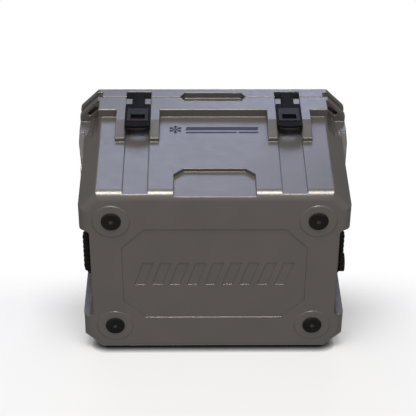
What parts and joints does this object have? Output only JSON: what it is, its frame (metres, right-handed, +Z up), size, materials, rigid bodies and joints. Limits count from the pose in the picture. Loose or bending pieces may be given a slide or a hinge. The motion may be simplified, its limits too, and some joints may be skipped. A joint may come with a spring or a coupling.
{
  "type": "hard cooler",
  "caption": "Hard-sided cooler with a hinged insulated lid, rubber stretch latches, end handles, round feet and a screw drain plug.",
  "frame": {"origin": "centre of the footprint, on the surface that the feet rest on", "axes": "+Z up, the front with the latches faces -Y, +X to the right seen from the front; +X is the long side"},
  "size_m": [0.633, 0.525, 0.4],
  "materials": {
    "casing": "satin",
    "liner": "satin",
    "foam": "matte",
    "gasket": "matte",
    "latch_rubber": "satin",
    "foot_rubber": "matte",
    "grip_rubber": "matte",
    "black_plastic": "satin",
    "seal_rubber": "matte",
    "black_steel": "satin",
    "steel": "satin"
  },
  "bodies": {
    "tub": {"tub_casing": "casing", "tub_liner": "liner", "tub_foam": "foam", "hinge_rod": "steel", "foot_front_left": "foot_rubber", "foot_front_right": "foot_rubber", "foot_back_left": "foot_rubber", "foot_back_right": "foot_rubber", "foot_screws": "steel", "bail_bracket_front_left": "black_plastic", "bail_bracket_front_right": "black_plastic", "bail_bracket_back_left": "black_plastic", "bail_bracket_back_right": "black_plastic", "bracket_screws": "steel", "drain_fitting": "black_plastic"},
    "lid": {"lid_casing": "casing", "lid_liner": "liner", "lid_foam": "foam", "lid_gasket": "gasket", "latch_pin_left": "steel", "latch_pin_right": "steel"},
    "latch_left": {"latch_left": "latch_rubber"},
    "latch_right": {"latch_right": "latch_rubber"},
    "handle_left": {"handle_bail_left": "black_steel", "handle_grip_left": "grip_rubber"},
    "handle_right": {"handle_bail_right": "black_steel", "handle_grip_right": "grip_rubber"},
    "drain_seal": {"drain_seal": "seal_rubber"},
    "drain_plug": {"drain_plug": "black_plastic"}
  },
  "joints": [
    {"name": "lid_hinge", "type": "hinge", "parent": "tub", "child": "lid", "pos_m": [0, 0.2541, 0.361], "axis": [-1, 0, 0], "range_deg": [0, 95]},
    {"name": "latch_left_swing", "type": "hinge", "parent": "lid", "child": "latch_left", "pos_m": [-0.176, -0.252, 0.3715], "axis": [-1, 0, 0], "range_deg": [0, 100]},
    {"name": "latch_right_swing", "type": "hinge", "parent": "lid", "child": "latch_right", "pos_m": [0.176, -0.252, 0.3715], "axis": [-1, 0, 0], "range_deg": [0, 100]},
    {"name": "handle_left_swing", "type": "hinge", "parent": "tub", "child": "handle_left", "pos_m": [-0.292, 0, 0.25], "axis": [0, 1, 0], "range_deg": [0, 100]},
    {"name": "handle_right_swing", "type": "hinge", "parent": "tub", "child": "handle_right", "pos_m": [0.292, 0, 0.25], "axis": [0, -1, 0], "range_deg": [0, 100]},
    {"name": "drain_slide", "type": "slide", "parent": "tub", "child": "drain_seal", "axis": [1, 0, 0], "range_m": [0, 0.012]},
    {"name": "drain_turn", "type": "hinge", "parent": "drain_seal", "child": "drain_plug", "pos_m": [0.294, 0, 0.052], "axis": [1, 0, 0], "range_deg": [0, 1080]}
  ],
  "couplings": [
    {"joint": "drain_slide", "follows": "drain_turn", "m_per_rad": 0.00063662}
  ]
}
